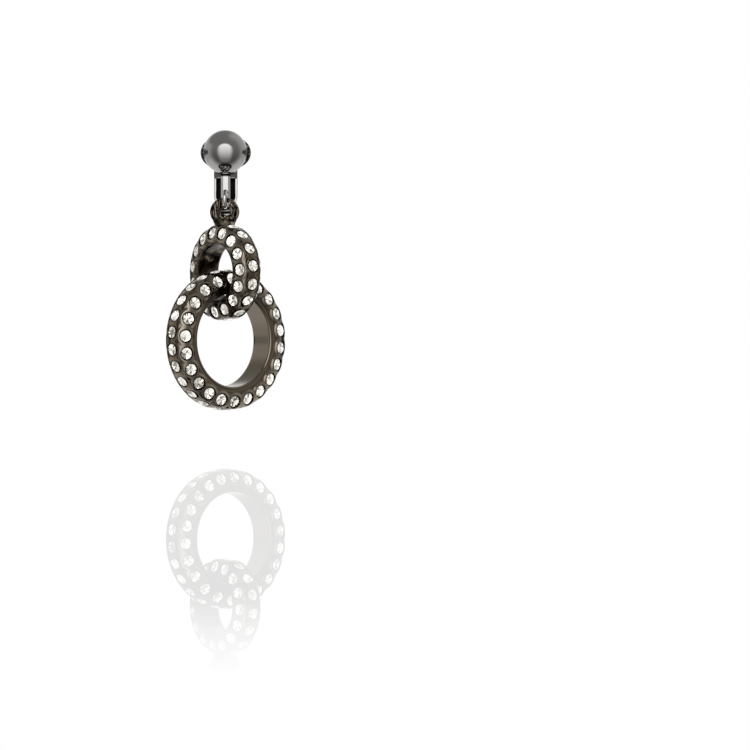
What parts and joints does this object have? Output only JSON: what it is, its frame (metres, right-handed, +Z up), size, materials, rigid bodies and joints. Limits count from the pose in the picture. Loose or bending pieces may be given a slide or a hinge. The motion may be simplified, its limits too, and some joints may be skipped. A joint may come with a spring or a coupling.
{
  "type": "clip-on drop earring",
  "caption": "Clip-on earring: polished ball on a hinged ear clip, a stone-set ring below it and a larger stone-set ring linked through that.",
  "frame": {"origin": "where the clip pinches the ear lobe: on the back face of the front strap, level with the middle of the ball", "axes": "+Z up, -Y the earring's front, +X to the right as seen from the front"},
  "size_m": [0.0224, 0.0195, 0.0516],
  "materials": {
    "ball_gunmetal": "polished gunmetal plating",
    "clip_steel": "polished black-nickel plating",
    "paddle_gunmetal": "dark plating, pebbled pad",
    "pin_steel": "polished",
    "ring_gunmetal": "polished warm gunmetal plating on a cast ring",
    "crystal": "faceted clear glass, foiled back"
  },
  "bodies": {
    "front": {"ball": "ball_gunmetal", "front_strap": "clip_steel"},
    "paddle": {"paddle": "paddle_gunmetal", "hinge_pin": "pin_steel"},
    "upper_link": {"upper_ring": "ring_gunmetal", "upper_stones": "crystal"},
    "lower_hoop": {"lower_ring": "ring_gunmetal", "lower_stones": "crystal"}
  },
  "joints": [
    {"name": "clip_hinge", "type": "hinge", "parent": "front", "child": "paddle", "pos_m": [0, 0.001, -0.0106], "axis": [-1, 0, 0], "range_deg": [0, 75], "stiffness_Nm_per_rad": 0.0005, "springref_deg": -20.05},
    {"name": "drop_swing", "type": "hinge", "parent": "front", "child": "upper_link", "pos_m": [0, -0.00236, -0.0086], "axis": [1, 0, 0], "range_deg": [-30, 30]},
    {"name": "hoop_swing", "type": "hinge", "parent": "upper_link", "child": "lower_hoop", "pos_m": [0, -0.00236, -0.02201], "axis": [-0.7934, -0.6088, 0], "range_deg": [-40, 40]}
  ]
}
